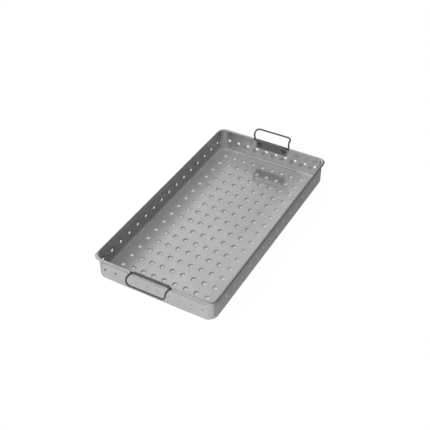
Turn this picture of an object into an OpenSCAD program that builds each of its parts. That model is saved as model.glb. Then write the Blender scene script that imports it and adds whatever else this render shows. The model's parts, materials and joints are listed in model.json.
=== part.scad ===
// Perforated instrument tray with two folding wire handles.
// Frame: +Z up, long side along Y, short side along X.
// Origin: centre of the tray's outline, on the underside of the floor.
// The near end is the one at -Y, the far end the one at +Y.

/* [Pan] */
// outside width of the tray over the rolled rim, along X
body_w = 210; // [180:1:260]
// outside length of the tray over the rolled rim, along Y
body_l = 399; // [370:1:460]
// height from the resting plane to the top of the rolled rim
body_h = 42; // [42:0.5:70]
// thickness of the pan's sheet
sheet_t = 1.0; // [0.8:0.1:1.2]
// outside diameter of the rolled rim
bead_d = 4; // [3.6:0.1:5]
// plan radius of the corners, over the rolled rim
corner_r = 18; // [14:1:34]
// outside radius of the bend between floor and walls
foot_r = 5; // [3:0.5:8]

/* [Floor holes] */
// diameter of every drain hole
hole_d = 6.5; // [4:0.1:8]
// number of columns across the width
floor_cols = 9; // [3:1:9]
// number of rows along the length
floor_rows = 15; // [3:1:15]
// spacing of the columns, along X
floor_pitch_x = 18.9; // [12:0.1:20]
// spacing of the rows, along Y
floor_pitch_y = 23.6; // [14:0.1:24]
// how far the field of holes sits off centre, along X
floor_shift_x = -6.5; // [-6.5:0.5:6.5]
// how far the field of holes sits off centre, along Y
floor_shift_y = 10; // [-10:0.5:10]

/* [Wall holes] */
// diameter of every wall hole
wall_hole_d = 4.5; // [3:0.1:6.5]
// height of the single row of holes round the walls
wall_hole_z = 21; // [14:0.5:22]
// number of holes in each long wall
side_holes = 16; // [2:1:16]
// spacing of the holes in the long walls
side_pitch = 23.9; // [14:0.1:24]
// number of holes in each end wall
end_holes = 10; // [2:1:10]
// spacing of the holes in the end walls
end_pitch = 18.9; // [12:0.1:19]

/* [Hinge plates] */
// width of each hinge plate, along X
plate_w = 60; // [40:1:60]
// thickness of the hinge plate's sheet
plate_t = 1.0; // [0.8:0.1:1.2]
// depth of the hinge plate below the hinge axis
plate_h = 14.9; // [12:0.1:14.9]
// how far the hinge axis lies below the top of the rolled rim
axis_drop = 1.6; // [1.2:0.1:1.6]

/* [Handles] */
// diameter of the handle wire
wire_d = 3.0; // [2.6:0.1:3.2]
// distance between the two arms, wire centre to wire centre
grip_w = 67; // [67:1:80]
// length of the arm from the hinge axis to the crank
arm_a = 16; // [13:0.5:22]
// length of the cranked end that carries the grip
arm_b = 12.7; // [12:0.1:20]
// bend radius between hinge bar and arm, at the wire's centre
bend_bar = 3.5; // [3.5:0.1:3.7]
// bend radius of the crank, at the wire's centre
bend_crank = 5; // [3:0.5:5.5]
// bend radius between crank and grip, at the wire's centre
bend_grip = 6.2; // [3:0.1:6.2]
// angle of the near handle's arms above the outward horizontal, folded out
near_lift = 13; // [13:1:150]
// angle of the far handle's arms above the outward horizontal, standing up
far_lift = 107; // [13:1:150]

/* [Hidden] */
$fn = 64;
hw = body_w / 2;
hl = body_l / 2;
bead_r = bead_d / 2;
bead_in = bead_r - sheet_t;             // radius of the hollow inside the roll
wall_w = hw - bead_d + sheet_t;         // outer face of the long walls
wall_l = hl - bead_d + sheet_t;         // outer face of the end walls
wall_r = corner_r - bead_d + sheet_t;   // plan radius of the walls' outer face
bead_z = body_h - bead_r;
wire_r = wire_d / 2;
axis_z = body_h - axis_drop;            // height of the hinge axis
plate_low_z = axis_z - plate_h;         // lower edge of the hinge plates
run_gap = 0.06;                         // radial clearance of the hinge bar
knuckle_in = wire_r + run_gap;
knuckle_out = knuckle_in + plate_t;
hook_end = 75;                          // where the hook stops, above the outward horizontal
// the plate lies on the end wall's inner face and the hook is tangent to it
axis_y = hl - bead_d - plate_t + knuckle_out;
plate_y = hl - bead_d - plate_t;        // inner face of the hinge plate
notch_z = axis_z - 1.2;                 // floor of the arm notches in the rim
arm_x = grip_w / 2;
wall_hole_r = wall_hole_d / 2;
floor_hole_r = hole_d / 2;

// ---------- pan ----------

// cross-section of floor edge, wall and rolled rim; x = 0 is the wall's outer face
module pan_profile() {
    // floor edge
    translate([-foot_r - 2, 0]) square([2.001, sheet_t]);
    // bend from floor to wall
    intersection() {
        difference() {
            translate([-foot_r, foot_r]) circle(foot_r);
            translate([-foot_r, foot_r]) circle(foot_r - sheet_t);
        }
        translate([-foot_r, 0]) square([foot_r, foot_r]);
    }
    // wall
    translate([-sheet_t, foot_r]) square([sheet_t, bead_z - foot_r]);
    // rolled rim, its edge left just short of the wall
    translate([bead_r - sheet_t, bead_z]) difference() {
        circle(bead_r);
        circle(bead_in);
        polygon([[0, 0], [-3 * bead_r, -0.02], [-3 * bead_r, -3 * bead_r], [-1.3 * bead_r, -3 * bead_r]]);
    }
}

// straight run of the section, centred, its outer face looking along +X
module pan_run(len) {
    rotate([90, 0, 0]) translate([0, 0, -len / 2]) linear_extrude(len) pan_profile();
}

module pan_corner() {
    rotate_extrude(angle = 90) translate([wall_r, 0]) pan_profile();
}

module pan_shell() {
    cx = wall_w - wall_r;
    cy = wall_l - wall_r;
    translate([wall_w, 0, 0]) pan_run(2 * cy);
    rotate([0, 0, 180]) translate([wall_w, 0, 0]) pan_run(2 * cy);
    rotate([0, 0, 90]) translate([wall_l, 0, 0]) pan_run(2 * cx);
    rotate([0, 0, 270]) translate([wall_l, 0, 0]) pan_run(2 * cx);
    translate([cx, cy, 0]) pan_corner();
    translate([-cx, cy, 0]) rotate([0, 0, 90]) pan_corner();
    translate([-cx, -cy, 0]) rotate([0, 0, 180]) pan_corner();
    translate([cx, -cy, 0]) rotate([0, 0, 270]) pan_corner();
    // floor sheet
    linear_extrude(sheet_t) {
        square([2 * (wall_w - foot_r), 2 * cy], center = true);
        square([2 * cx, 2 * (wall_l - foot_r)], center = true);
        for (sx = [-1, 1], sy = [-1, 1])
            translate([sx * cx, sy * cy]) circle(wall_r - foot_r);
    }
}

module floor_holes() {
    for (i = [0 : floor_cols - 1], j = [0 : floor_rows - 1])
        translate([floor_shift_x + (i - (floor_cols - 1) / 2) * floor_pitch_x,
                   floor_shift_y + (j - (floor_rows - 1) / 2) * floor_pitch_y, -1])
            cylinder(r = floor_hole_r, h = sheet_t + 2);
}

// one hole through a wall whose outer face is at distance d along +X.
// s is the distance along the wall, flat is half its straight length:
// beyond that the hole follows the corner and stays square to the sheet
module wall_hole(d, s, flat) {
    over = max(0, abs(s) - flat);
    turn = over / wall_r * 180 / PI;
    side = s < 0 ? -1 : 1;
    translate([d - wall_r, side * min(abs(s), flat), wall_hole_z])
        rotate([0, 0, side * turn]) translate([wall_r - 4, 0, 0])
            rotate([0, 90, 0]) cylinder(r = wall_hole_r, h = 8);
}

module wall_holes() {
    for (k = [0 : side_holes - 1]) {
        s = (k - (side_holes - 1) / 2) * side_pitch;
        wall_hole(wall_w, s, wall_l - wall_r);
        rotate([0, 0, 180]) wall_hole(wall_w, s, wall_l - wall_r);
    }
    for (k = [0 : end_holes - 1]) {
        s = (k - (end_holes - 1) / 2) * end_pitch;
        rotate([0, 0, 90]) wall_hole(wall_l, s, wall_w - wall_r);
        rotate([0, 0, 270]) wall_hole(wall_l, s, wall_w - wall_r);
    }
}

// room for one handle in the far rim: a groove along the hinge bar whose
// outer lip is left standing, open above for the hinge plate's hook,
// and a deeper notch at each end for the arms
module rim_notch() {
    mid = plate_w + 0.6;
    full = grip_w + wire_d + 2.4;
    // above the groove, inner side and outer side
    translate([-mid / 2, plate_y - 1, notch_z])
        cube([mid, axis_y - plate_y + 1, body_h]);
    translate([-mid / 2, axis_y - 0.01, axis_z - 0.3])
        cube([mid, bead_d + 6, body_h]);
    // the groove itself
    translate([-mid / 2, axis_y, axis_z]) rotate([0, 90, 0])
        cylinder(r = knuckle_in, h = mid);
    // arm notches
    for (s = [-1, 1]) {
        translate([s * (full + mid) / 4 - (full - mid) / 4, plate_y - 1, notch_z])
            cube([(full - mid) / 2, bead_d + 6, body_h]);
        translate([s * (full + mid) / 4 - (full - mid) / 4, axis_y, axis_z]) rotate([0, 90, 0])
            cylinder(r = wire_r + 0.5, h = (full - mid) / 2);
    }
}

module tray_pan() {
    color([0.74, 0.75, 0.76]) difference() {
        pan_shell();
        floor_holes();
        wall_holes();
        rim_notch();
        rotate([0, 0, 180]) rim_notch();
    }
}

// ---------- hinge plates ----------

// far hinge plate: a strip on the inside of the end wall,
// its upper edge hooked over the hinge bar
module hinge_plate() {
    edge_r = 3;
    difference() {
        translate([0, plate_y + plate_t, 0]) rotate([90, 0, 0]) linear_extrude(plate_t) {
            translate([-plate_w / 2, plate_low_z + edge_r])
                square([plate_w, axis_z - plate_low_z - edge_r]);
            translate([-plate_w / 2 + edge_r, plate_low_z])
                square([plate_w - 2 * edge_r, edge_r]);
            for (s = [-1, 1])
                translate([s * (plate_w / 2 - edge_r), plate_low_z + edge_r]) circle(edge_r);
        }
        // spot-weld dimples
        for (s = [-1, 1])
            translate([s * (plate_w / 2 - 6.5), plate_y + 0.35, axis_z - 5.9])
                rotate([90, 0, 0]) cylinder(r = 1.8, h = 2);
    }
    // hook over the hinge bar, from the plate across the top to just past the crown
    translate([-plate_w / 2, axis_y, axis_z]) rotate([90, 0, 90]) linear_extrude(plate_w)
        difference() {
            circle(knuckle_out);
            circle(knuckle_in);
            polygon([[0, 0], [-9, -0.001], [-9, -9], [9, -9], [9, 9], [9 / tan(hook_end), 9]]);
        }
}

module hinge_plate_far() {
    color([0.70, 0.71, 0.72]) hinge_plate();
}

module hinge_plate_near() {
    color([0.70, 0.71, 0.72]) rotate([0, 0, 180]) hinge_plate();
}

// ---------- handles ----------

module wire_bend(r) {
    rotate_extrude(angle = 90) translate([r, 0]) circle(wire_r);
}

// closed wire loop with its hinge bar on the X axis, arms up along +Z,
// cranked towards +Y
module bail() {
    // hinge bar
    translate([-(arm_x - bend_bar), 0, 0]) rotate([0, 90, 0])
        cylinder(r = wire_r, h = 2 * (arm_x - bend_bar));
    // grip
    translate([-(arm_x - bend_grip), arm_b, arm_a]) rotate([0, 90, 0])
        cylinder(r = wire_r, h = 2 * (arm_x - bend_grip));
    for (m = [0, 1]) mirror([m, 0, 0]) {
        translate([arm_x - bend_bar, 0, bend_bar]) rotate([90, 90, 0]) wire_bend(bend_bar);
        translate([arm_x, 0, bend_bar])
            cylinder(r = wire_r, h = arm_a - bend_bar - bend_crank);
        translate([arm_x, bend_crank, arm_a - bend_crank]) rotate([90, 0, 270]) wire_bend(bend_crank);
        translate([arm_x, bend_crank, arm_a]) rotate([-90, 0, 0])
            cylinder(r = wire_r, h = arm_b - bend_crank - bend_grip);
        translate([arm_x - bend_grip, arm_b - bend_grip, arm_a]) wire_bend(bend_grip);
    }
}

module handle_far() {
    color([0.62, 0.63, 0.64]) translate([0, axis_y, axis_z])
        rotate([far_lift - 90, 0, 0]) bail();
}

module handle_near() {
    color([0.62, 0.63, 0.64]) rotate([0, 0, 180]) translate([0, axis_y, axis_z])
        rotate([near_lift - 90, 0, 0]) bail();
}

tray_pan();
hinge_plate_near();
hinge_plate_far();
handle_near();
handle_far();
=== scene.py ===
import json
import math

import bpy
import bmesh
import numpy as np
from mathutils import Matrix, Vector, noise
from mathutils.geometry import delaunay_2d_cdt

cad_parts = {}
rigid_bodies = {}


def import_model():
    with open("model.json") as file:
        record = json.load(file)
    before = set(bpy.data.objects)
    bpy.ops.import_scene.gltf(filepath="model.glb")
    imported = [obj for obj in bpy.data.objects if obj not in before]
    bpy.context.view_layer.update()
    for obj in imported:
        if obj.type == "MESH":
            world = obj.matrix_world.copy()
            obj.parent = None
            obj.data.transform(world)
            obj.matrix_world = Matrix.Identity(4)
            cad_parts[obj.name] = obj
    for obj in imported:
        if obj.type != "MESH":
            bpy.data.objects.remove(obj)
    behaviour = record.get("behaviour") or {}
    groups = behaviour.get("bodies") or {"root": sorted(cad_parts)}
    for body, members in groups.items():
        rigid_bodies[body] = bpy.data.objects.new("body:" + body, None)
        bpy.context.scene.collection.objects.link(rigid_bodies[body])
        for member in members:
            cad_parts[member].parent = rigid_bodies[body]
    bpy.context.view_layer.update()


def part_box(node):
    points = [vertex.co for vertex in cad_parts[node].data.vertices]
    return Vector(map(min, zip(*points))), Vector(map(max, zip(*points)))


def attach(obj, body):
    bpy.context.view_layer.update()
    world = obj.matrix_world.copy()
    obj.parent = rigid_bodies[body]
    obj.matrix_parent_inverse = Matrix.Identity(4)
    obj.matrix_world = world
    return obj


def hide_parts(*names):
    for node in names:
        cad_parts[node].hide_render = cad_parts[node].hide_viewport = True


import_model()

MM = 0.001
PI = math.pi

# ---------------------------------------------------------------- dimensions, in mm
pan_lo, pan_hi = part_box("tray_pan")
HW = pan_hi.x / MM                # half width over the rim
HL = pan_hi.y / MM                # half length over the rim
H = pan_hi.z / MM                 # rim top
T = 1.0                           # sheet
BEAD = 4.0                        # rolled rim
BR = BEAD / 2
WALL_X = HW - BEAD + T            # wall outer faces
WALL_Y = HL - BEAD + T
WALL_R = 15.0                     # wall corner, plan radius of the outer face
RIM_R = 12.0                      # plan radius of the rim's outline in the corners
FOOT = 5.0                        # floor to wall bend, outer radius, straight sides
FOOT_C = 6.0                      # the same in the middle of a corner
BEAD_Z = H - BR
HOLE_R = 3.25                     # floor holes
WHOLE_R = 2.25                    # wall holes
PX, PY = 18.9, 23.6               # floor hole pitches
SHX, SHY = -6.5, 10.0             # floor hole field offset
NX, NY = 9, 15
WHZ = 21.0                        # wall hole height
SIDE_N, SIDE_P = 16, 23.9
END_N, END_P = 10, 18.9
PLATE_W, PLATE_T, PLATE_H = 60.0, 1.0, 14.9
WIRE_R = 1.5
AXIS_Z = H - 1.6
KN_IN = WIRE_R + 0.06
KN_OUT = KN_IN + PLATE_T
AXIS_Y = HL - BEAD - PLATE_T + KN_OUT
PLATE_Y = HL - BEAD - PLATE_T
GRIP_W, ARM_A, ARM_B = 67.0, 16.0, 12.7
B_BAR, B_CRANK, B_GRIP = 3.5, 5.0, 6.2
NEAR_LIFT, FAR_LIFT = 13.0, 107.0
SEG = 28                          # points round a punched hole

# profile of a punched edge: (distance back from the edge, depth below the drawn-in face).
# the floor's holes are drawn in further than the walls'
LIP = [(1.9, 0.0), (1.45, 0.03), (1.05, 0.09), (0.7, 0.19), (0.42, 0.31), (0.2, 0.44), (0.06, 0.57),
       (0.0, 0.7), (0.0, 0.92), (0.05, 0.98), (0.16, 1.0), (1.9, 1.0)]
WLIP = [(1.1, 0.0), (0.75, 0.02), (0.46, 0.075), (0.25, 0.165), (0.1, 0.29), (0.02, 0.43),
        (0.0, 0.6), (0.0, 0.9), (0.05, 0.97), (0.16, 1.0), (1.1, 1.0)]


def smooth(a, b, x):
    t = min(1.0, max(0.0, (x - a) / (b - a)))
    return t * t * (3 - 2 * t)


def nz(x, y, z=0.0):
    return noise.noise(Vector((x, y, z)))


# ---------------------------------------------------------------- mesh helpers
class Builder:
    """collects vertices and faces in mm"""

    def __init__(self):
        self.v, self.f = [], []

    def add(self, pts):
        i = len(self.v)
        self.v.extend(pts)
        return list(range(i, i + len(pts)))

    def strip(self, a, b, closed=False):
        n = len(a)
        for i in range(n if closed else n - 1):
            j = (i + 1) % n
            self.f.append((a[i], a[j], b[j], b[i]))

    def mesh(self, name, weld=1e-4):
        me = bpy.data.meshes.new(name)
        me.from_pydata([(x * MM, y * MM, z * MM) for x, y, z in self.v], [], self.f)
        bm = bmesh.new()
        bm.from_mesh(me)
        bmesh.ops.remove_doubles(bm, verts=bm.verts, dist=weld * MM)
        bad = [f for f in bm.faces if f.calc_area() < 1e-14]
        if bad:
            bmesh.ops.delete(bm, geom=bad, context="FACES")
        bmesh.ops.recalc_face_normals(bm, faces=bm.faces)
        bm.to_mesh(me)
        bm.free()
        return me


def inside(poly, pts):
    """vectorised point in polygon"""
    x, y = pts[:, 0], pts[:, 1]
    r = np.zeros(len(pts), bool)
    px, py = poly[:, 0], poly[:, 1]
    qx, qy = np.roll(px, -1), np.roll(py, -1)
    for a, b, c, d in zip(px, py, qx, qy):
        if b == d:
            continue
        hit = ((b > y) != (d > y)) & (x < (c - a) * (y - b) / (d - b) + a)
        r ^= hit
    return r


def triangulate(outer, circles, extra):
    """outer: (n,2) loop. circles: list of (cx, cy, r, n). extra: (m,2). Returns points and triangles between them."""
    pts = [tuple(p) for p in outer]
    n0 = len(pts)
    edges = [(i, (i + 1) % n0) for i in range(n0)]
    for cx, cy, r, n in circles:
        s = len(pts)
        pts += [(cx + r * math.cos(2 * PI * k / n), cy + r * math.sin(2 * PI * k / n)) for k in range(n)]
        edges += [(s + k, s + (k + 1) % n) for k in range(n)]
    pts += [tuple(p) for p in extra]
    out = delaunay_2d_cdt([Vector(p) for p in pts], edges, [], 0, 1e-5)
    co = np.array([(v.x, v.y) for v in out[0]], float)
    # snap the points back to the exact ones that were asked for
    for i, src in enumerate(out[3]):
        if src:
            co[i] = pts[src[0]]
    tri = np.array([t for t in out[2] if len(t) == 3], int)
    cen = co[tri].mean(1)
    keep = inside(np.array(outer), cen)
    for cx, cy, r, n in circles:
        keep &= (cen[:, 0] - cx) ** 2 + (cen[:, 1] - cy) ** 2 > (r * 0.985) ** 2
    return co, tri[keep]


def obj_from(me, name, mat, body, nodes, sharp=32):
    me.name = name
    for p in me.polygons:
        p.use_smooth = True
    if sharp:
        me.set_sharp_from_angle(angle=math.radians(sharp))
    ob = bpy.data.objects.new(name, me)
    bpy.context.scene.collection.objects.link(ob)
    me.materials.clear()
    me.materials.append(mat)
    w = ob.modifiers.new("weighted", "WEIGHTED_NORMAL")
    w.mode = "FACE_AREA"
    w.weight = 50
    w.keep_sharp = True
    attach(ob, body)
    if nodes:
        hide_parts(*nodes)
    return ob


# ---------------------------------------------------------------- the pan
def rim_reach(px, py, dx, dy):
    """distance from a wall point, along its normal, to the rim's outline (first quadrant)"""
    ox, oy = HW - RIM_R, HL - RIM_R
    best = 1e9
    if dx > 1e-9:
        s = (HW - px) / dx
        if s > 0 and py + s * dy <= oy + 1e-9:
            best = min(best, s)
    if dy > 1e-9:
        s = (HL - py) / dy
        if s > 0 and px + s * dx <= ox + 1e-9:
            best = min(best, s)
    fx, fy = px - ox, py - oy
    b = fx * dx + fy * dy
    c = fx * fx + fy * fy - RIM_R * RIM_R
    if b * b >= c:
        s = -b + math.sqrt(b * b - c)
        if px + s * dx >= ox - 1e-6 and py + s * dy >= oy - 1e-6:
            best = min(best, s)
    return best


def stations():
    """points round the wall's outer face: position, normal, foot radius, rim reach, running length"""
    cx, cy = WALL_X - WALL_R, WALL_Y - WALL_R
    path = []

    def straight(p, q, n, step):
        k = max(1, round(math.dist(p, q) / step))
        for i in range(k):
            t = i / k
            path.append((p[0] + (q[0] - p[0]) * t, p[1] + (q[1] - p[1]) * t, n[0], n[1], FOOT, BEAD - T))

    def corner(sx, sy, a0):
        k = 22
        for i in range(k):
            a = a0 + PI / 2 * i / k
            nx, ny = math.cos(a), math.sin(a)
            ax = math.atan2(abs(ny), abs(nx))
            w = math.sin(2 * ax) ** 1.6
            over = rim_reach(cx + WALL_R * abs(nx), cy + WALL_R * abs(ny), abs(nx), abs(ny))
            path.append((sx * cx + WALL_R * nx, sy * cy + WALL_R * ny, nx, ny, FOOT + (FOOT_C - FOOT) * w, over))

    st = 5.975
    straight((WALL_X, 0), (WALL_X, cy), (1, 0), st)
    corner(1, 1, 0)
    straight((cx, WALL_Y), (-cx, WALL_Y), (0, 1), st)
    corner(-1, 1, PI / 2)
    straight((-WALL_X, cy), (-WALL_X, -cy), (-1, 0), st)
    corner(-1, -1, PI)
    straight((-cx, -WALL_Y), (cx, -WALL_Y), (0, -1), st)
    corner(1, -1, 1.5 * PI)
    straight((WALL_X, -cy), (WALL_X, 0), (1, 0), st)
    path = np.array(path)
    nxt = np.roll(path, -1, 0)
    # length along the outer face, with true arc length in the corners
    d = np.hypot(nxt[:, 0] - path[:, 0], nxt[:, 1] - path[:, 1])
    turn = np.abs(np.arctan2(path[:, 2] * nxt[:, 3] - path[:, 3] * nxt[:, 2], path[:, 2] * nxt[:, 2] + path[:, 3] * nxt[:, 3]))
    d = np.where(turn > 1e-6, turn * WALL_R, d)
    s = np.concatenate([[0], np.cumsum(d)])
    return path, s[:-1], s[-1]


PATH, SS, STOT = stations()
NEXT = np.concatenate([SS[1:], [STOT]])


def at(s):
    """wall outer face at running length s: position and normal, exact on straights and arcs"""
    s = s % STOT
    i = min(int(np.searchsorted(SS, s, side="right")) - 1, len(SS) - 1)
    a, b = PATH[i], PATH[(i + 1) % len(PATH)]
    t = (s - SS[i]) / (NEXT[i] - SS[i])
    cr = a[2] * b[3] - a[3] * b[2]
    if abs(cr) > 1e-9:
        ang = math.atan2(a[3], a[2]) + math.asin(max(-1, min(1, cr))) * t
        c = (a[0] - WALL_R * a[2], a[1] - WALL_R * a[3])
        n = (math.cos(ang), math.sin(ang))
        return c[0] + WALL_R * n[0], c[1] + WALL_R * n[1], n[0], n[1]
    return a[0] + (b[0] - a[0]) * t, a[1] + (b[1] - a[1]) * t, a[2], a[3]


def wall_wave(x, y, z):
    """how far a wall has been pressed inwards from flat, mm (0 at foot, rim and hinge plates)"""
    k = smooth(8, 16, z) * (1 - smooth(33, 38, z))
    if abs(y) > WALL_Y - WALL_R:
        k *= smooth(36, 60, abs(x)) * (1 - smooth(70, 86, abs(x)))
    else:
        k *= 1 - smooth(WALL_Y - 50, WALL_Y - 18, abs(y))
    return k * (0.28 + 0.28 * nz(x / 60 + 3.1, y / 75, z / 60))


def wall_point(s, z, d):
    """point of the wall sheet: d = 0 inner face, d = 1 outer face"""
    x, y, nx, ny = at(s)
    o = 1 - d + wall_wave(x, y, z)
    return (x - nx * o, y - ny * o, z)


def floor_wave(x, y):
    fx = 1 - smooth(60, 95, abs(x))
    fy = 1 - smooth(150, 190, abs(y))
    return 0.35 * fx * fy * (0.55 + 0.45 * nz(x / 70 + 7, y / 85 + 2, 0.4))


def build_pan():
    B = Builder()
    P, n = PATH, len(PATH)

    # ---- floor
    outline = np.array([(p[0] - p[2] * p[4], p[1] - p[3] * p[4]) for p in P])
    r_lip = HOLE_R + LIP[0][0]
    circles = [(SHX + (i - (NX - 1) / 2) * PX, SHY + (j - (NY - 1) / 2) * PY, r_lip, SEG)
               for i in range(NX) for j in range(NY)]
    cen = np.array([c[:2] for c in circles])
    gx = np.arange(-94.5, 95, 6.3)
    gy = np.arange(-188.8, 189, 5.9)
    grid = np.array([(a, b) for a in gx for b in gy])
    shrunk = np.array([(p[0] - p[2] * (p[4] + 1.5), p[1] - p[3] * (p[4] + 1.5)) for p in P])
    keep = inside(shrunk, grid)
    dist = np.min(np.hypot(grid[:, None, 0] - cen[None, :, 0], grid[:, None, 1] - cen[None, :, 1]), 1)
    grid = grid[keep & (dist > r_lip + 0.9)]
    near = np.array([(p[0] - p[2] * (p[4] + 0.8), p[1] - p[3] * (p[4] + 0.8)) for p in P])
    co, tri = triangulate(outline, circles, np.vstack([grid, near]))
    top = B.add([(x, y, T + floor_wave(x, y)) for x, y in co])
    bot = B.add([(x, y, floor_wave(x, y)) for x, y in co])
    for a, b, c in tri:
        B.f.append((top[a], top[b], top[c]))
        B.f.append((bot[c], bot[b], bot[a]))
    for cx, cy, _, _ in circles:
        prev = None
        for back, depth in LIP:
            ring = []
            for k in range(SEG):
                r = HOLE_R + back
                x, y = cx + r * math.cos(2 * PI * k / SEG), cy + r * math.sin(2 * PI * k / SEG)
                ring.append((x, y, T - depth * T + floor_wave(x, y)))
            ids = B.add(ring)
            if prev:
                B.strip(prev, ids, True)
            prev = ids

    # ---- bend from floor to wall
    NB = 10
    for face in (0, 1):
        prev = None
        for k in range(NB + 1):
            th = PI / 2 * k / NB
            ring = []
            for p in P:
                r = p[4] - (T if face == 0 else 0)
                o = p[4] - r * math.sin(th)
                ring.append((p[0] - p[2] * o, p[1] - p[3] * o, p[4] - r * math.cos(th)))
            ids = B.add(ring)
            if prev:
                B.strip(prev, ids, True)
            prev = ids

    # ---- walls, laid flat as (running length, height)
    z_top = BEAD_Z - 1.5
    s_all = np.concatenate([SS, [STOT]])
    foot = np.concatenate([P[:, 4], P[:1, 4]])
    low = [(s, f) for s, f in zip(s_all, foot)]
    high = [(s, z_top) for s in s_all]
    side_z = [10.0, 15.0, 20.0, 25.0, 30.0, 34.5]
    outer = low + [(STOT, z) for z in side_z] + high[::-1] + [(0.0, z) for z in side_z[::-1]]
    circles = []
    # running length of the middle of each side
    half_y = WALL_Y - WALL_R
    half_x = WALL_X - WALL_R
    arc = WALL_R * PI / 2
    m_right = 0.0
    m_far = half_y + arc + half_x
    m_left = m_far + half_x + arc + half_y
    m_near = m_left + half_y + arc + half_x
    for k in range(SIDE_N):
        q = (k - (SIDE_N - 1) / 2) * SIDE_P
        circles.append(((m_right + q) % STOT, WHZ))
        circles.append((m_left + q, WHZ))
    for k in range(END_N):
        q = (k - (END_N - 1) / 2) * END_P
        circles.append((m_far + q, WHZ))
        circles.append((m_near + q, WHZ))
    w_lip = WHOLE_R + WLIP[0][0]
    circles = [(a, b, w_lip, SEG) for a, b in circles]
    cen = np.array([c[:2] for c in circles])
    grid = np.array([(s, z) for s in SS[1:] for z in side_z])
    ring_foot = np.interp(grid[:, 0], s_all, foot)
    dist = np.min(np.hypot(grid[:, None, 0] - cen[None, :, 0], grid[:, None, 1] - cen[None, :, 1]), 1)
    grid = grid[(dist > w_lip + 0.7) & (grid[:, 1] > ring_foot + 1.0)]
    co, tri = triangulate(np.array(outer), circles, grid)
    inn = B.add([wall_point(s, z, 0) for s, z in co])
    out = B.add([wall_point(s, z, 1) for s, z in co])
    for a, b, c in tri:
        B.f.append((inn[a], inn[b], inn[c]))
        B.f.append((out[c], out[b], out[a]))
    for cx, cy, _, _ in circles:
        prev = None
        for back, depth in WLIP:
            r = WHOLE_R + back
            ids = B.add([wall_point(cx + r * math.cos(2 * PI * k / SEG), cy + r * math.sin(2 * PI * k / SEG), depth)
                         for k in range(SEG)])
            if prev:
                B.strip(prev, ids, True)
            prev = ids

    # ---- top of the wall and rolled rim
    end = -113.4
    angs = [180 - (180 - end) * k / 30 for k in range(31)]
    rings = {}
    for face in (0, 1):
        prev = B.add([(p[0] - p[2] * (1 - face), p[1] - p[3] * (1 - face), z_top) for p in P])
        for a in angs:
            ring = []
            for p in P:
                br = (p[5] + T) / 2
                c = p[5] - br
                rh = br - (T if face else 0)
                rv = BR - (T if face else 0)
                o = c + rh * math.cos(math.radians(a))
                ring.append((p[0] + p[2] * o, p[1] + p[3] * o, BEAD_Z + rv * math.sin(math.radians(a))))
            ids = B.add(ring)
            B.strip(prev, ids, True)
            prev = ids
        rings[face] = prev
    # rounded free edge of the curl
    mid = []
    for p in P:
        br = (p[5] + T) / 2
        c = p[5] - br
        a = math.radians(end - 8)
        mid.append((p[0] + p[2] * (c + (br - T / 2) * math.cos(a)), p[1] + p[3] * (c + (br - T / 2) * math.cos(a)),
                    BEAD_Z + (BR - T / 2) * math.sin(a)))
    mid = B.add(mid)
    B.strip(rings[0], mid, True)
    B.strip(mid, rings[1], True)
    return B.mesh("tray_pan_visual")


def box_mesh(lo, hi):
    me = bpy.data.meshes.new("cut")
    bm = bmesh.new()
    bmesh.ops.create_cube(bm, size=1)
    for v in bm.verts:
        v.co = Vector([(lo[i] + hi[i]) / 2 + v.co[i] * (hi[i] - lo[i]) for i in range(3)]) * MM
    bm.to_mesh(me)
    bm.free()
    return me


def cut_notches(me):
    """cuts the handle notches into both ends of the rim"""
    ob = bpy.data.objects.new("pan_tmp", me)
    bpy.context.scene.collection.objects.link(ob)
    col = bpy.data.collections.new("cutters")
    bpy.context.scene.collection.children.link(col)
    mid, full = (PLATE_W + 0.6) / 2, (GRIP_W + 2 * WIRE_R + 2.4) / 2
    notch_z = AXIS_Z - 1.2
    cut = []

    def rod(x0, x1, y, r):
        cm = bpy.data.meshes.new("cut")
        bm = bmesh.new()
        bmesh.ops.create_cone(bm, cap_ends=True, segments=64, radius1=r * MM, radius2=r * MM, depth=(x1 - x0) * MM,
                              matrix=Matrix.Translation(((x0 + x1) / 2 * MM, y * MM, AXIS_Z * MM)) @ Matrix.Rotation(PI / 2, 4, "Y"))
        bm.to_mesh(cm)
        bm.free()
        return cm

    for s in (1, -1):
        ya = sorted((s * (PLATE_Y - 1), s * AXIS_Y))
        cut.append(box_mesh((-mid, ya[0], notch_z), (mid, ya[1], H + 3)))
        yb = sorted((s * (AXIS_Y - 0.01), s * (AXIS_Y + BEAD + 6)))
        cut.append(box_mesh((-mid, yb[0], AXIS_Z - 0.3), (mid, yb[1], H + 3.5)))
        cut.append(rod(-mid, mid, s * AXIS_Y, KN_IN))
        yc = sorted((s * (PLATE_Y - 1), s * (PLATE_Y + BEAD + 5)))
        for x0, x1 in ((mid, full), (-full, -mid)):
            cut.append(box_mesh((x0, yc[0], notch_z), (x1, yc[1], H + 4)))
            cut.append(rod(x0, x1, s * AXIS_Y, WIRE_R + 0.5))
    for c in cut:
        o = bpy.data.objects.new("cut", c)
        col.objects.link(o)
    m = ob.modifiers.new("notch", "BOOLEAN")
    m.operation = "DIFFERENCE"
    m.operand_type = "COLLECTION"
    m.collection = col
    m.solver = "EXACT"
    bpy.context.view_layer.update()
    dg = bpy.context.evaluated_depsgraph_get()
    new = bpy.data.meshes.new_from_object(ob.evaluated_get(dg))
    for o in list(col.objects):
        bpy.data.objects.remove(o)
    bpy.data.collections.remove(col)
    bpy.data.objects.remove(ob)
    bm = bmesh.new()
    bm.from_mesh(new)
    bmesh.ops.remove_doubles(bm, verts=bm.verts, dist=0.002 * MM)
    bmesh.ops.dissolve_degenerate(bm, edges=bm.edges, dist=0.002 * MM)
    bmesh.ops.recalc_face_normals(bm, faces=bm.faces)
    bm.to_mesh(new)
    bm.free()
    return new


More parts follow.
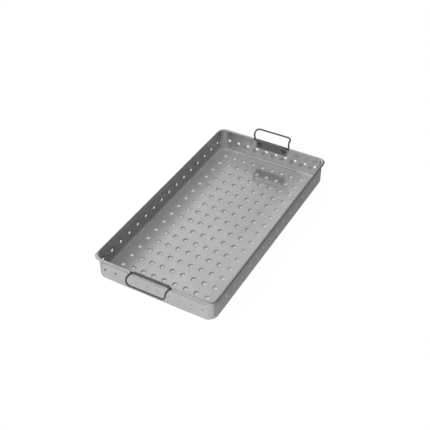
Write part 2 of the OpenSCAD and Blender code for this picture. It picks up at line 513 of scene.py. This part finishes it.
# ---------------------------------------------------------------- hinge plates
def build_plate(flip):
    B = Builder()
    end_a = 75.0
    n_arc = 20
    k_arc = PI / 180 * (KN_IN + PLATE_T / 2)
    v_end = PLATE_H + (180 - end_a) * k_arc
    hwid, cr, e = PLATE_W / 2, 3.0, 0.3
    low_z = AXIS_Z - PLATE_H
    dimples = [(s * (hwid - 6.5), PLATE_H - 5.9) for s in (-1, 1)]

    def place(x, v, d):
        if v <= PLATE_H:
            dep = 0.0
            if d < 0.5:
                for a, b in dimples:
                    r = math.hypot(x - a, v - b)
                    dep = max(dep, 0.35 * (1 - smooth(0.7, 2.1, r)))
            y, z = PLATE_Y + max(d, dep), low_z + v
        else:
            a = math.radians(180 - (v - PLATE_H) / k_arc)
            r = KN_OUT - d
            y, z = AXIS_Y + r * math.cos(a), AXIS_Z + r * math.sin(a)
        return (-x, -y, z) if flip else (x, y, z)

    # outline with its inward normals: lower corners rounded
    loop = []
    xs = np.linspace(-hwid + cr, hwid - cr, 22)
    for x in xs:
        loop.append((x, 0.0, 0, 1))
    for k in range(1, 8):
        a = -PI / 2 + PI / 2 * k / 8
        loop.append((hwid - cr + cr * math.cos(a), cr + cr * math.sin(a), -math.cos(a), -math.sin(a)))
    vs = list(np.linspace(cr, PLATE_H, 6)) + [PLATE_H + k_arc * (180 - end_a) * k / n_arc for k in range(1, n_arc - 2)]
    for v in vs:
        loop.append((hwid, v, -1, 0))
    cols = np.linspace(-hwid + 1.25, hwid - 1.25, 47)
    for x in [hwid] + list(cols[::-1]) + [-hwid]:
        if x == hwid:
            loop.append((x, v_end, -1, -1))
        elif x == -hwid:
            loop.append((x, v_end, 1, -1))
        else:
            loop.append((x, v_end, 0, -1))
    for v in vs[::-1]:
        loop.append((-hwid, v, 1, 0))
    for k in range(1, 8):
        a = PI + PI / 2 * k / 8
        loop.append((-hwid + cr + cr * math.cos(a), cr + cr * math.sin(a), -math.cos(a), -math.sin(a)))
    prof = [(e, 0.0), (0.13, 0.045), (0.035, 0.14), (0.0, 0.3), (0.0, 0.7), (0.035, 0.86), (0.13, 0.955), (e, 1.0)]
    inner = np.array([(x + nx * e, v + nv * e) for x, v, nx, nv in loop])
    extra = []
    gv = list(np.linspace(1.2, PLATE_H, 9)) + [PLATE_H + k_arc * (180 - end_a) * k / n_arc for k in range(1, n_arc - 2)]
    for x in cols:
        for v in gv:
            if all(math.hypot(x - a, v - b) > 2.7 for a, b in dimples):
                extra.append((x, v))
    for a, b in dimples:
        extra.append((a, b))
        for r in (0.7, 1.05, 1.4, 1.75, 2.1, 2.4):
            extra += [(a + r * math.cos(2 * PI * k / 20), b + r * math.sin(2 * PI * k / 20)) for k in range(20)]
    co, tri = triangulate(inner, [], np.array(extra))
    A = B.add([place(x, v, 0) for x, v in co])
    C = B.add([place(x, v, 1) for x, v in co])
    for a, b, c in tri:
        B.f.append((A[a], A[b], A[c]))
        B.f.append((C[c], C[b], C[a]))
    prev = None
    for inset, dep in prof:
        ids = B.add([place(x + nx * inset, v + nv * inset, dep) for x, v, nx, nv in loop])
        if prev:
            B.strip(prev, ids, True)
        prev = ids
    return B.mesh("plate")


# ---------------------------------------------------------------- handles
def handle_path():
    """closed centre line of the bent wire: hinge bar on the X axis, arms up, cranked towards +Y"""
    ax = GRIP_W / 2
    pts = []

    def line(p, q, k):
        for i in range(k):
            pts.append(Vector(p).lerp(Vector(q), i / k))

    def arc(c, u, w, r, k=12):
        c, u, w = Vector(c), Vector(u), Vector(w)
        for i in range(k):
            t = PI / 2 * i / k
            pts.append(c + r * (u * math.cos(t) + w * math.sin(t)))

    line((-(ax - B_BAR), 0, 0), (ax - B_BAR, 0, 0), 24)
    arc((ax - B_BAR, 0, B_BAR), (0, 0, -1), (1, 0, 0), B_BAR)
    line((ax, 0, B_BAR), (ax, 0, ARM_A - B_CRANK), 4)
    arc((ax, B_CRANK, ARM_A - B_CRANK), (0, -1, 0), (0, 0, 1), B_CRANK)
    line((ax, B_CRANK, ARM_A), (ax, ARM_B - B_GRIP, ARM_A), 2)
    arc((ax - B_GRIP, ARM_B - B_GRIP, ARM_A), (1, 0, 0), (0, 1, 0), B_GRIP)
    line((ax - B_GRIP, ARM_B, ARM_A), (-(ax - B_GRIP), ARM_B, ARM_A), 24)
    arc((-(ax - B_GRIP), ARM_B - B_GRIP, ARM_A), (0, 1, 0), (-1, 0, 0), B_GRIP)
    line((-ax, ARM_B - B_GRIP, ARM_A), (-ax, B_CRANK, ARM_A), 2)
    arc((-ax, B_CRANK, ARM_A - B_CRANK), (0, 0, 1), (0, -1, 0), B_CRANK)
    line((-ax, 0, ARM_A - B_CRANK), (-ax, 0, B_BAR), 4)
    arc((-(ax - B_BAR), 0, B_BAR), (-1, 0, 0), (0, 0, -1), B_BAR)
    return pts


def build_handle(lift, flip, seed):
    pts = handle_path()
    n, seg = len(pts), 24
    m = Matrix.Translation((0, AXIS_Y, AXIS_Z)) @ Matrix.Rotation(math.radians(lift - 90), 4, "X")
    if flip:
        m = Matrix.Rotation(PI, 4, "Z") @ m
    tang = [(pts[(i + 1) % n] - pts[i - 1]).normalized() for i in range(n)]
    # rotation-minimising frames, the closing twist shared out along the loop
    u = tang[0].orthogonal().normalized()
    us = [u]
    for i in range(1, n):
        q = tang[i - 1].rotation_difference(tang[i])
        u = q @ u
        u = (u - tang[i] * u.dot(tang[i])).normalized()
        us.append(u)
    q = tang[-1].rotation_difference(tang[0])
    last = q @ us[-1]
    w0 = tang[0].cross(us[0])
    twist = math.atan2(last.dot(w0), last.dot(us[0]))
    length = [0.0]
    for i in range(n):
        length.append(length[-1] + (pts[(i + 1) % n] - pts[i]).length)
    me = bpy.data.meshes.new("handle")
    bm = bmesh.new()
    uv = bm.loops.layers.uv.new("along")
    rings = []
    for i in range(n):
        t = tang[i]
        a0 = -twist * length[i] / length[-1]
        w = t.cross(us[i])
        # drawn wire: a hair of thickness variation away from the hinge bar
        free = smooth(3.5, 6.0, (pts[i].y ** 2 + pts[i].z ** 2) ** 0.5)
        bend = min(1.0, tang[i].angle(tang[i - 1]) / 0.12)
        ring = []
        for k in range(seg):
            a = a0 + 2 * PI * k / seg
            d = us[i] * math.cos(a) + w * math.sin(a)
            r = WIRE_R * (1 - free * (0.006 + 0.006 * nz(length[i] / 6, math.cos(a) + seed, math.sin(a))))
            ring.append(bm.verts.new((m @ (pts[i] + d * r)) * MM))
        rings.append(ring)
    for i in range(n):
        j = (i + 1) % n
        for k in range(seg):
            l = (k + 1) % seg
            f = bm.faces.new((rings[i][k], rings[i][l], rings[j][l], rings[j][k]))
            for loop, (uu, vv) in zip(f.loops, ((length[i], k), (length[i], k + 1), (length[i + 1], k + 1), (length[i + 1], k))):
                loop[uv].uv = (uu / 100, vv / seg)
    bmesh.ops.recalc_face_normals(bm, faces=bm.faces)
    bm.to_mesh(me)
    bm.free()
    return me


# ---------------------------------------------------------------- materials
class Nodes:
    def __init__(self, name, world=False):
        if world:
            self.owner = bpy.data.worlds.new(name)
        else:
            self.owner = bpy.data.materials.new(name)
        self.owner.use_nodes = True
        self.t = self.owner.node_tree
        self.t.nodes.clear()

    def n(self, kind, **kw):
        node = self.t.nodes.new(kind)
        for k, v in kw.items():
            if k.startswith("i_"):
                key = k[2:]
                key = int(key) if key.isdigit() else key.replace("_", " ")
                node.inputs[key].default_value = v
            else:
                setattr(node, k, v)
        return node

    def link(self, a, b):
        self.t.links.new(a, b)

    def math(self, op, a, b=None, c=None, clamp=False):
        node = self.t.nodes.new("ShaderNodeMath")
        node.operation = op
        node.use_clamp = clamp
        for i, x in enumerate((a, b, c)):
            if x is None:
                continue
            if isinstance(x, (int, float)):
                node.inputs[i].default_value = x
            else:
                self.link(x, node.inputs[i])
        return node.outputs[0]

    def ramp(self, fac, stops, interp="LINEAR"):
        node = self.t.nodes.new("ShaderNodeValToRGB")
        node.color_ramp.interpolation = interp
        el = node.color_ramp.elements
        while len(el) > 1:
            el.remove(el[-1])
        el[0].position = stops[0][0]
        el[0].color = (stops[0][1],) * 3 + (1,)
        for p, v in stops[1:]:
            e = el.new(p)
            e.color = (v, v, v, 1)
        self.link(fac, node.inputs[0])
        return node.outputs[0]

    def noise(self, vec, scale, detail=2.0, rough=0.5, dims="3D"):
        node = self.t.nodes.new("ShaderNodeTexNoise")
        node.noise_dimensions = dims
        node.inputs["Scale"].default_value = scale
        node.inputs["Detail"].default_value = detail
        node.inputs["Roughness"].default_value = rough
        self.link(vec, node.inputs["Vector"])
        return node.outputs["Fac"]

    def mapping(self, vec, scale=(1, 1, 1), rot=(0, 0, 0)):
        node = self.t.nodes.new("ShaderNodeMapping")
        node.inputs["Scale"].default_value = scale
        node.inputs["Rotation"].default_value = rot
        self.link(vec, node.inputs["Vector"])
        return node.outputs[0]


def sheet_steel():
    """satin electropolished sheet: soft cloudy tone, fine mottled grain, fine scratches, polished edges, duller round the punched holes"""
    g = Nodes("pan_steel")
    pos = g.n("ShaderNodeTexCoord").outputs["Object"]
    geo = g.n("ShaderNodeNewGeometry")
    cloud = g.noise(pos, 14, 3, 0.55)
    blot = g.noise(pos, 55, 3, 0.6)
    grain = g.noise(pos, 620, 2, 0.6)
    fine = g.noise(pos, 1500, 1, 0.5)
    # fine handling scratches in two directions
    sc1 = g.noise(g.mapping(pos, (60, 1900, 60), (0, 0, 0.35)), 1.0, 2, 0.5)
    sc2 = g.noise(g.mapping(pos, (1700, 45, 45), (0, 0, -0.5)), 1.0, 2, 0.5)
    scr = g.math("MAXIMUM", g.ramp(sc1, [(0.0, 0), (0.66, 0), (0.71, 1), (0.76, 0)]), g.ramp(sc2, [(0.0, 0), (0.67, 0), (0.72, 1), (0.77, 0)]))
    # distance from the nearest floor hole
    sep = g.n("ShaderNodeSeparateXYZ")
    g.link(pos, sep.inputs[0])

    def cell(out, start, pitch):
        f = g.math("FRACT", g.math("ADD", g.math("DIVIDE", g.math("SUBTRACT", out, start * MM), pitch * MM), 0.5))
        return g.math("MULTIPLY", g.math("SUBTRACT", f, 0.5), pitch)
    dx = cell(sep.outputs[0], SHX, PX)
    dy = cell(sep.outputs[1], SHY, PY)
    r = g.math("SQRT", g.math("ADD", g.math("MULTIPLY", dx, dx), g.math("MULTIPLY", dy, dy)))
    low = g.math("LESS_THAN", sep.outputs[2], 0.0022)
    halo = g.math("MULTIPLY", g.ramp(g.math("DIVIDE", r, 10), [(0.0, 1), (0.34, 1), (0.5, 0.45), (0.75, 0)]), low)
    edge = g.ramp(geo.outputs["Pointiness"], [(0.0, 0), (0.505, 0), (0.56, 1)])
    # painted shade: concave bends, fillets and hole lips darkened by their pointiness
    painted_crease_shade = g.ramp(geo.outputs["Pointiness"], [(0.0, 1), (0.44, 1), (0.495, 0)])
    ax = g.math("ABSOLUTE", sep.outputs[0])
    ay = g.math("ABSOLUTE", sep.outputs[1])
    # floor strips along the long sides: a duller finish, and painted light as well, since their base colour is
    # lightened below
    dull = g.math("MULTIPLY", g.ramp(g.math("MULTIPLY", ax, 10), [(0.0, 0), (0.48, 0), (0.71, 1)]),
                  g.ramp(g.math("MULTIPLY", sep.outputs[2], 100), [(0.0, 1), (0.25, 1), (0.5, 0)]))
    outer = g.math("MAXIMUM", g.math("GREATER_THAN", ax, (WALL_X - 0.6) * MM), g.math("GREATER_THAN", ay, (WALL_Y - 0.6) * MM))
    # painted shade: a band on the outer wall faces just under the rolled rim, where the rim shades the wall
    band = g.math("MULTIPLY", outer, g.ramp(g.math("MULTIPLY", sep.outputs[2], 20),
                                            [(0.0, 0), (0.62, 0), (0.71, 1), (0.765, 1), (0.785, 0)]))
    # tone
    base = g.math("ADD", 0.675, g.math("MULTIPLY", g.math("SUBTRACT", cloud, 0.5), 0.12))
    base = g.math("ADD", base, g.math("MULTIPLY", g.math("SUBTRACT", blot, 0.5), 0.11))
    base = g.math("ADD", base, g.math("MULTIPLY", g.math("SUBTRACT", grain, 0.5), 0.34))
    base = g.math("SUBTRACT", base, g.math("MULTIPLY", halo, 0.035))
    # painted shade under the rim
    base = g.math("SUBTRACT", base, g.math("MULTIPLY", band, 0.22))
    # painted light: the dull floor strips get a much lighter base colour
    base = g.math("ADD", base, g.math("MULTIPLY", dull, 0.31))
    # painted shade: outer faces of the long walls darker towards the rim
    painted_long_wall_shade = g.math("MULTIPLY", g.math("GREATER_THAN", ax, (WALL_X - 0.6) * MM),
                       g.ramp(g.math("MULTIPLY", sep.outputs[2], 20), [(0.0, 0), (0.2, 0), (0.7, 1)]))
    base = g.math("SUBTRACT", base, g.math("MULTIPLY", painted_long_wall_shade, 0.14))
    # painted shade: inner faces of the long walls darker
    painted_inner_wall_shade = g.math("MULTIPLY", g.math("MULTIPLY", g.math("GREATER_THAN", ax, (WALL_X - 2.4) * MM), g.math("SUBTRACT", 1.0, outer)),
                        g.ramp(g.math("MULTIPLY", sep.outputs[2], 20), [(0.0, 0), (0.09, 0), (0.16, 1), (0.74, 1), (0.77, 0)]))
    base = g.math("SUBTRACT", base, g.math("MULTIPLY", painted_inner_wall_shade, 0.20))
    base = g.math("SUBTRACT", base, g.math("MULTIPLY", scr, 0.03))
    # painted shade in the concave creases
    base = g.math("SUBTRACT", base, g.math("MULTIPLY", painted_crease_shade, 0.10))
    base = g.math("ADD", base, g.math("MULTIPLY", edge, 0.08), clamp=True)
    rough = g.math("ADD", 0.205, g.math("MULTIPLY", g.math("SUBTRACT", blot, 0.5), 0.07))
    rough = g.math("ADD", rough, g.math("MULTIPLY", g.math("SUBTRACT", grain, 0.5), 0.10))
    rough = g.math("ADD", rough, g.math("MULTIPLY", halo, 0.04))
    rough = g.math("ADD", rough, g.math("MULTIPLY", scr, 0.06))
    rough = g.math("SUBTRACT", rough, g.math("MULTIPLY", edge, 0.05), clamp=True)
    h = g.math("ADD", g.math("MULTIPLY", grain, 1.0), g.math("MULTIPLY", fine, 0.4))
    h = g.math("SUBTRACT", h, g.math("MULTIPLY", scr, 0.6))
    bump = g.n("ShaderNodeBump", i_Strength=0.10, i_Distance=0.00012)
    g.link(h, bump.inputs["Height"])
    bump2 = g.n("ShaderNodeBump", i_Strength=0.16, i_Distance=0.0012)
    g.link(blot, bump2.inputs["Height"])
    g.link(bump.outputs[0], bump2.inputs["Normal"])
    col = g.n("ShaderNodeCombineColor")
    for i, k in enumerate((1.0, 1.0, 1.0)):
        g.link(g.math("MULTIPLY", base, k), col.inputs[i])
    # satin finish: a clear reflection under a wide haze; the floor is dulled along the long sides
    lobes = g.n("ShaderNodeMixShader")
    g.link(g.math("ADD", 0.52, g.math("MULTIPLY", dull, 0.47)), lobes.inputs[0])
    for i, (add, floor_r) in enumerate(((-0.105, 0.06), (0.22, 0.2))):
        if i:
            add = g.math("ADD", add, g.math("MULTIPLY", dull, 0.34))
        bs = g.n("ShaderNodeBsdfPrincipled", i_Metallic=1.0)
        g.link(col.outputs[0], bs.inputs["Base Color"])
        g.link(g.math("MAXIMUM", g.math("ADD", rough, add), floor_r), bs.inputs["Roughness"])
        g.link(bump2.outputs[0], bs.inputs["Normal"])
        g.link(bs.outputs[0], lobes.inputs[1 + i])
    g.link(lobes.outputs[0], g.n("ShaderNodeOutputMaterial").inputs[0])
    return g.owner


def strip_steel():
    """brushed strip, its grain along the hinge, a dull heat ring round each spot weld"""
    g = Nodes("plate_steel")
    pos = g.n("ShaderNodeTexCoord").outputs["Object"]
    geo = g.n("ShaderNodeNewGeometry")
    brush = g.noise(g.mapping(pos, (70, 2600, 2600)), 1.0, 3, 0.6)
    cloud = g.noise(pos, 90, 2, 0.5)
    sep = g.n("ShaderNodeSeparateXYZ")
    g.link(pos, sep.inputs[0])
    ax = g.math("SUBTRACT", g.math("ABSOLUTE", sep.outputs[0]), (PLATE_W / 2 - 6.5) * MM)
    az = g.math("SUBTRACT", sep.outputs[2], (AXIS_Z - 5.9) * MM)
    r = g.math("SQRT", g.math("ADD", g.math("MULTIPLY", ax, ax), g.math("MULTIPLY", az, az)))
    ring = g.ramp(g.math("MULTIPLY", r, 150), [(0.0, 0.5), (0.22, 0.6), (0.33, 1), (0.62, 0.25), (0.9, 0)])
    edge = g.ramp(geo.outputs["Pointiness"], [(0.0, 0), (0.51, 0), (0.58, 1)])
    # dark base colour: partly the strip's own tone, partly painted shade below the hinge knuckle
    base = g.math("ADD", 0.24, g.math("MULTIPLY", g.math("SUBTRACT", brush, 0.5), 0.12))
    base = g.math("ADD", base, g.math("MULTIPLY", g.math("SUBTRACT", cloud, 0.5), 0.10))
    base = g.math("SUBTRACT", base, g.math("MULTIPLY", ring, 0.16))
    base = g.math("ADD", base, g.math("MULTIPLY", edge, 0.10), clamp=True)
    rough = g.math("ADD", 0.22, g.math("MULTIPLY", g.math("SUBTRACT", brush, 0.5), 0.16))
    rough = g.math("ADD", rough, g.math("MULTIPLY", ring, 0.10), clamp=True)
    bump = g.n("ShaderNodeBump", i_Strength=0.22, i_Distance=0.0001)
    g.link(brush, bump.inputs["Height"])
    col = g.n("ShaderNodeCombineColor")
    for i in range(3):
        g.link(base, col.inputs[i])
    bs = g.n("ShaderNodeBsdfPrincipled", i_Metallic=1.0)
    g.link(col.outputs[0], bs.inputs["Base Color"])
    g.link(rough, bs.inputs["Roughness"])
    g.link(bump.outputs[0], bs.inputs["Normal"])
    g.link(bs.outputs[0], g.n("ShaderNodeOutputMaterial").inputs[0])
    return g.owner


def wire_steel():
    """drawn wire: lengthwise die lines, faint bands along its length"""
    g = Nodes("wire_steel")
    tc = g.n("ShaderNodeTexCoord")
    uv, pos = tc.outputs["UV"], tc.outputs["Object"]
    die = g.noise(g.mapping(uv, (12, 60, 1)), 1.0, 3, 0.6)
    band = g.noise(g.mapping(uv, (140, 2, 1)), 1.0, 2, 0.5)
    mott = g.noise(pos, 700, 2, 0.5)
    # painted reflection: the base colour is kept very dark to stand in for the dark surroundings the polished wire
    # reflects
    base = g.math("ADD", 0.19, g.math("MULTIPLY", g.math("SUBTRACT", die, 0.5), 0.10))
    base = g.math("ADD", base, g.math("MULTIPLY", g.math("SUBTRACT", band, 0.5), 0.08))
    base = g.math("ADD", base, g.math("MULTIPLY", g.math("SUBTRACT", mott, 0.5), 0.08), clamp=True)
    rough = g.math("ADD", 0.19, g.math("MULTIPLY", g.math("SUBTRACT", die, 0.5), 0.14))
    rough = g.math("ADD", rough, g.math("MULTIPLY", g.math("SUBTRACT", mott, 0.5), 0.06), clamp=True)
    bump = g.n("ShaderNodeBump", i_Strength=0.25, i_Distance=0.00008)
    g.link(die, bump.inputs["Height"])
    col = g.n("ShaderNodeCombineColor")
    for i in range(3):
        g.link(base, col.inputs[i])
    bs = g.n("ShaderNodeBsdfPrincipled", i_Metallic=1.0)
    g.link(col.outputs[0], bs.inputs["Base Color"])
    g.link(rough, bs.inputs["Roughness"])
    g.link(bump.outputs[0], bs.inputs["Normal"])
    g.link(bs.outputs[0], g.n("ShaderNodeOutputMaterial").inputs[0])
    return g.owner


M_PAN, M_PLATE, M_WIRE = sheet_steel(), strip_steel(), wire_steel()

pan = obj_from(cut_notches(build_pan()), "pan_sheet", M_PAN, "pan", ["tray_pan"])
plate_far = obj_from(build_plate(False), "plate_far", M_PLATE, "pan", ["hinge_plate_far"])
plate_near = obj_from(build_plate(True), "plate_near", M_PLATE, "pan", ["hinge_plate_near"])
wire_far = obj_from(build_handle(FAR_LIFT, False, 2.0), "wire_far", M_WIRE, "far_handle", ["handle_far"], 0)
wire_near = obj_from(build_handle(NEAR_LIFT, True, 9.0), "wire_near", M_WIRE, "near_handle", ["handle_near"], 0)

# ---------------------------------------------------------------- floor and studio light
DARK = math.radians(32)           # the studio is open and dark on this side


def studio_world():
    w = Nodes("studio", world=True)
    gen = w.n("ShaderNodeTexCoord").outputs["Generated"]
    norm = w.n("ShaderNodeVectorMath", operation="NORMALIZE")
    w.link(gen, norm.inputs[0])
    dot = w.n("ShaderNodeVectorMath", operation="DOT_PRODUCT")
    w.link(norm.outputs[0], dot.inputs[0])
    dot.inputs[1].default_value = (math.cos(DARK), math.sin(DARK), 0)
    c = w.math("ADD", w.math("MULTIPLY", dot.outputs["Value"], 0.5), 0.5)
    side = w.ramp(c, [(0.0, 1.12), (0.5, 1.08), (0.565, 0.67), (0.69, 0.45), (0.79, 0.26), (0.86, 0.13), (1.0, 0.09)])
    sep = w.n("ShaderNodeSeparateXYZ")
    w.link(norm.outputs[0], sep.inputs[0])
    top = w.ramp(sep.outputs[2], [(0.0, 0.0), (0.77, 0.0), (0.88, 1.0)])
    low = w.ramp(sep.outputs[2], [(0.0, 0.30), (0.20, 0.34), (0.42, 1.0)])
    val = w.math("MULTIPLY", w.math("MULTIPLY", side, low), w.math("SUBTRACT", 1.0, top))
    val = w.math("ADD", val, w.math("MULTIPLY", top, 0.42))
    lp = w.n("ShaderNodeLightPath")
    mix = w.n("ShaderNodeMix", data_type="FLOAT")
    w.link(lp.outputs["Is Camera Ray"], mix.inputs[0])
    w.link(val, mix.inputs[2])
    mix.inputs[3].default_value = 1.24     # the background colour below is 0.8
    bg = w.n("ShaderNodeBackground")
    w.link(mix.outputs[0], bg.inputs["Strength"])
    w.link(bg.outputs[0], w.n("ShaderNodeOutputWorld").inputs[0])
    bpy.context.scene.world = w.owner


def studio_floor():
    me = bpy.data.meshes.new("floor")
    bm = bmesh.new()
    bmesh.ops.create_grid(bm, x_segments=1, y_segments=1, size=6.0)
    for v in bm.verts:
        v.co.z = -0.00005
    bm.to_mesh(me)
    bm.free()
    ob = bpy.data.objects.new("floor", me)
    bpy.context.scene.collection.objects.link(ob)
    g = Nodes("pale_floor")
    geo = g.n("ShaderNodeNewGeometry")
    dot = g.n("ShaderNodeVectorMath", operation="DOT_PRODUCT")
    g.link(geo.outputs["Incoming"], dot.inputs[0])
    a = math.radians(80)
    dot.inputs[1].default_value = (-math.cos(a), -math.sin(a), 0)
    c = g.math("ADD", g.math("MULTIPLY", dot.outputs["Value"], 0.5), 0.5)
    side = g.ramp(c, [(0.0, 0.63), (0.2, 0.63), (0.31, 0.55), (0.43, 0.50), (0.57, 0.46), (0.69, 0.40), (0.79, 0.31), (0.86, 0.23), (1.0, 0.2)])
    # shaded where the tray stands
    sep = g.n("ShaderNodeSeparateXYZ")
    g.link(geo.outputs["Position"], sep.inputs[0])
    rad = 14.0
    qx = g.math("MAXIMUM", g.math("SUBTRACT", g.math("ABSOLUTE", sep.outputs[0]), (WALL_X - 9 - rad) * MM), 0.0)
    qy = g.math("MAXIMUM", g.math("SUBTRACT", g.math("ABSOLUTE", sep.outputs[1]), (WALL_Y - 9 - rad) * MM), 0.0)
    q = g.math("SQRT", g.math("ADD", g.math("MULTIPLY", qx, qx), g.math("MULTIPLY", qy, qy)))
    under = g.math("LESS_THAN", q, rad * MM)
    ao = g.n("ShaderNodeAmbientOcclusion", samples=8, i_Distance=0.02)
    lean = Vector((-0.62, 0.62, 0.48)).normalized()
    comb = g.n("ShaderNodeCombineXYZ", i_0=lean.x, i_1=lean.y, i_2=lean.z)
    g.link(comb.outputs[0], ao.inputs["Normal"])
    open_sky = g.math("POWER", ao.outputs["AO"], 1.9)
    refl = g.math("MULTIPLY", side, g.math("SUBTRACT", 1.0, g.math("MULTIPLY", under, 0.85)))
    seen = g.math("ADD", g.math("MULTIPLY", 0.935, g.math("SUBTRACT", 1.0, under)),
                  g.math("MULTIPLY", under, g.math("ADD", 0.04, g.math("MULTIPLY", open_sky, 0.62))))
    lp = g.n("ShaderNodeLightPath")
    mix = g.n("ShaderNodeMix", data_type="FLOAT")
    g.link(lp.outputs["Is Camera Ray"], mix.inputs[0])
    g.link(refl, mix.inputs[2])
    g.link(seen, mix.inputs[3])
    em = g.n("ShaderNodeEmission")
    g.link(mix.outputs[0], em.inputs["Strength"])
    df = g.n("ShaderNodeBsdfDiffuse")
    df.inputs["Color"].default_value = (0.2, 0.2, 0.2, 1)
    add = g.n("ShaderNodeAddShader")
    g.link(em.outputs[0], add.inputs[0])
    g.link(df.outputs[0], add.inputs[1])
    clear = g.n("ShaderNodeBsdfTransparent")
    side_mix = g.n("ShaderNodeMixShader")
    g.link(geo.outputs["Backfacing"], side_mix.inputs[0])
    g.link(add.outputs[0], side_mix.inputs[1])
    g.link(clear.outputs[0], side_mix.inputs[2])
    g.link(side_mix.outputs[0], g.n("ShaderNodeOutputMaterial").inputs[0])
    me.materials.append(g.owner)


studio_world()
studio_floor()

# ---------------------------------------------------------------- camera
cam_data = bpy.data.cameras.new("camera")
cam = bpy.data.objects.new("camera", cam_data)
bpy.context.scene.collection.objects.link(cam)
cam_data.sensor_width = 36
cam_data.lens = 65.998
cam_data.shift_x = -0.5 / 430
cam_data.shift_y = 0.5 / 430
cam_data.clip_start, cam_data.clip_end = 0.02, 50
right = Vector((0.8711442233, 0.4909841235, -0.0065063533))
down = Vector((0.3093736255, -0.5591093246, -0.7692104543))
fwd = Vector((-0.3813078835, 0.6680803496, -0.6389623967))
rot = Matrix((right, -down, -fwd)).transposed()
cam.matrix_world = Matrix.Translation((0.48763895, -0.86282441, 0.84214348)) @ rot.to_4x4()
bpy.context.scene.camera = cam
bpy.context.scene.view_settings.view_transform = "Standard"
bpy.context.scene.view_settings.look = "None"
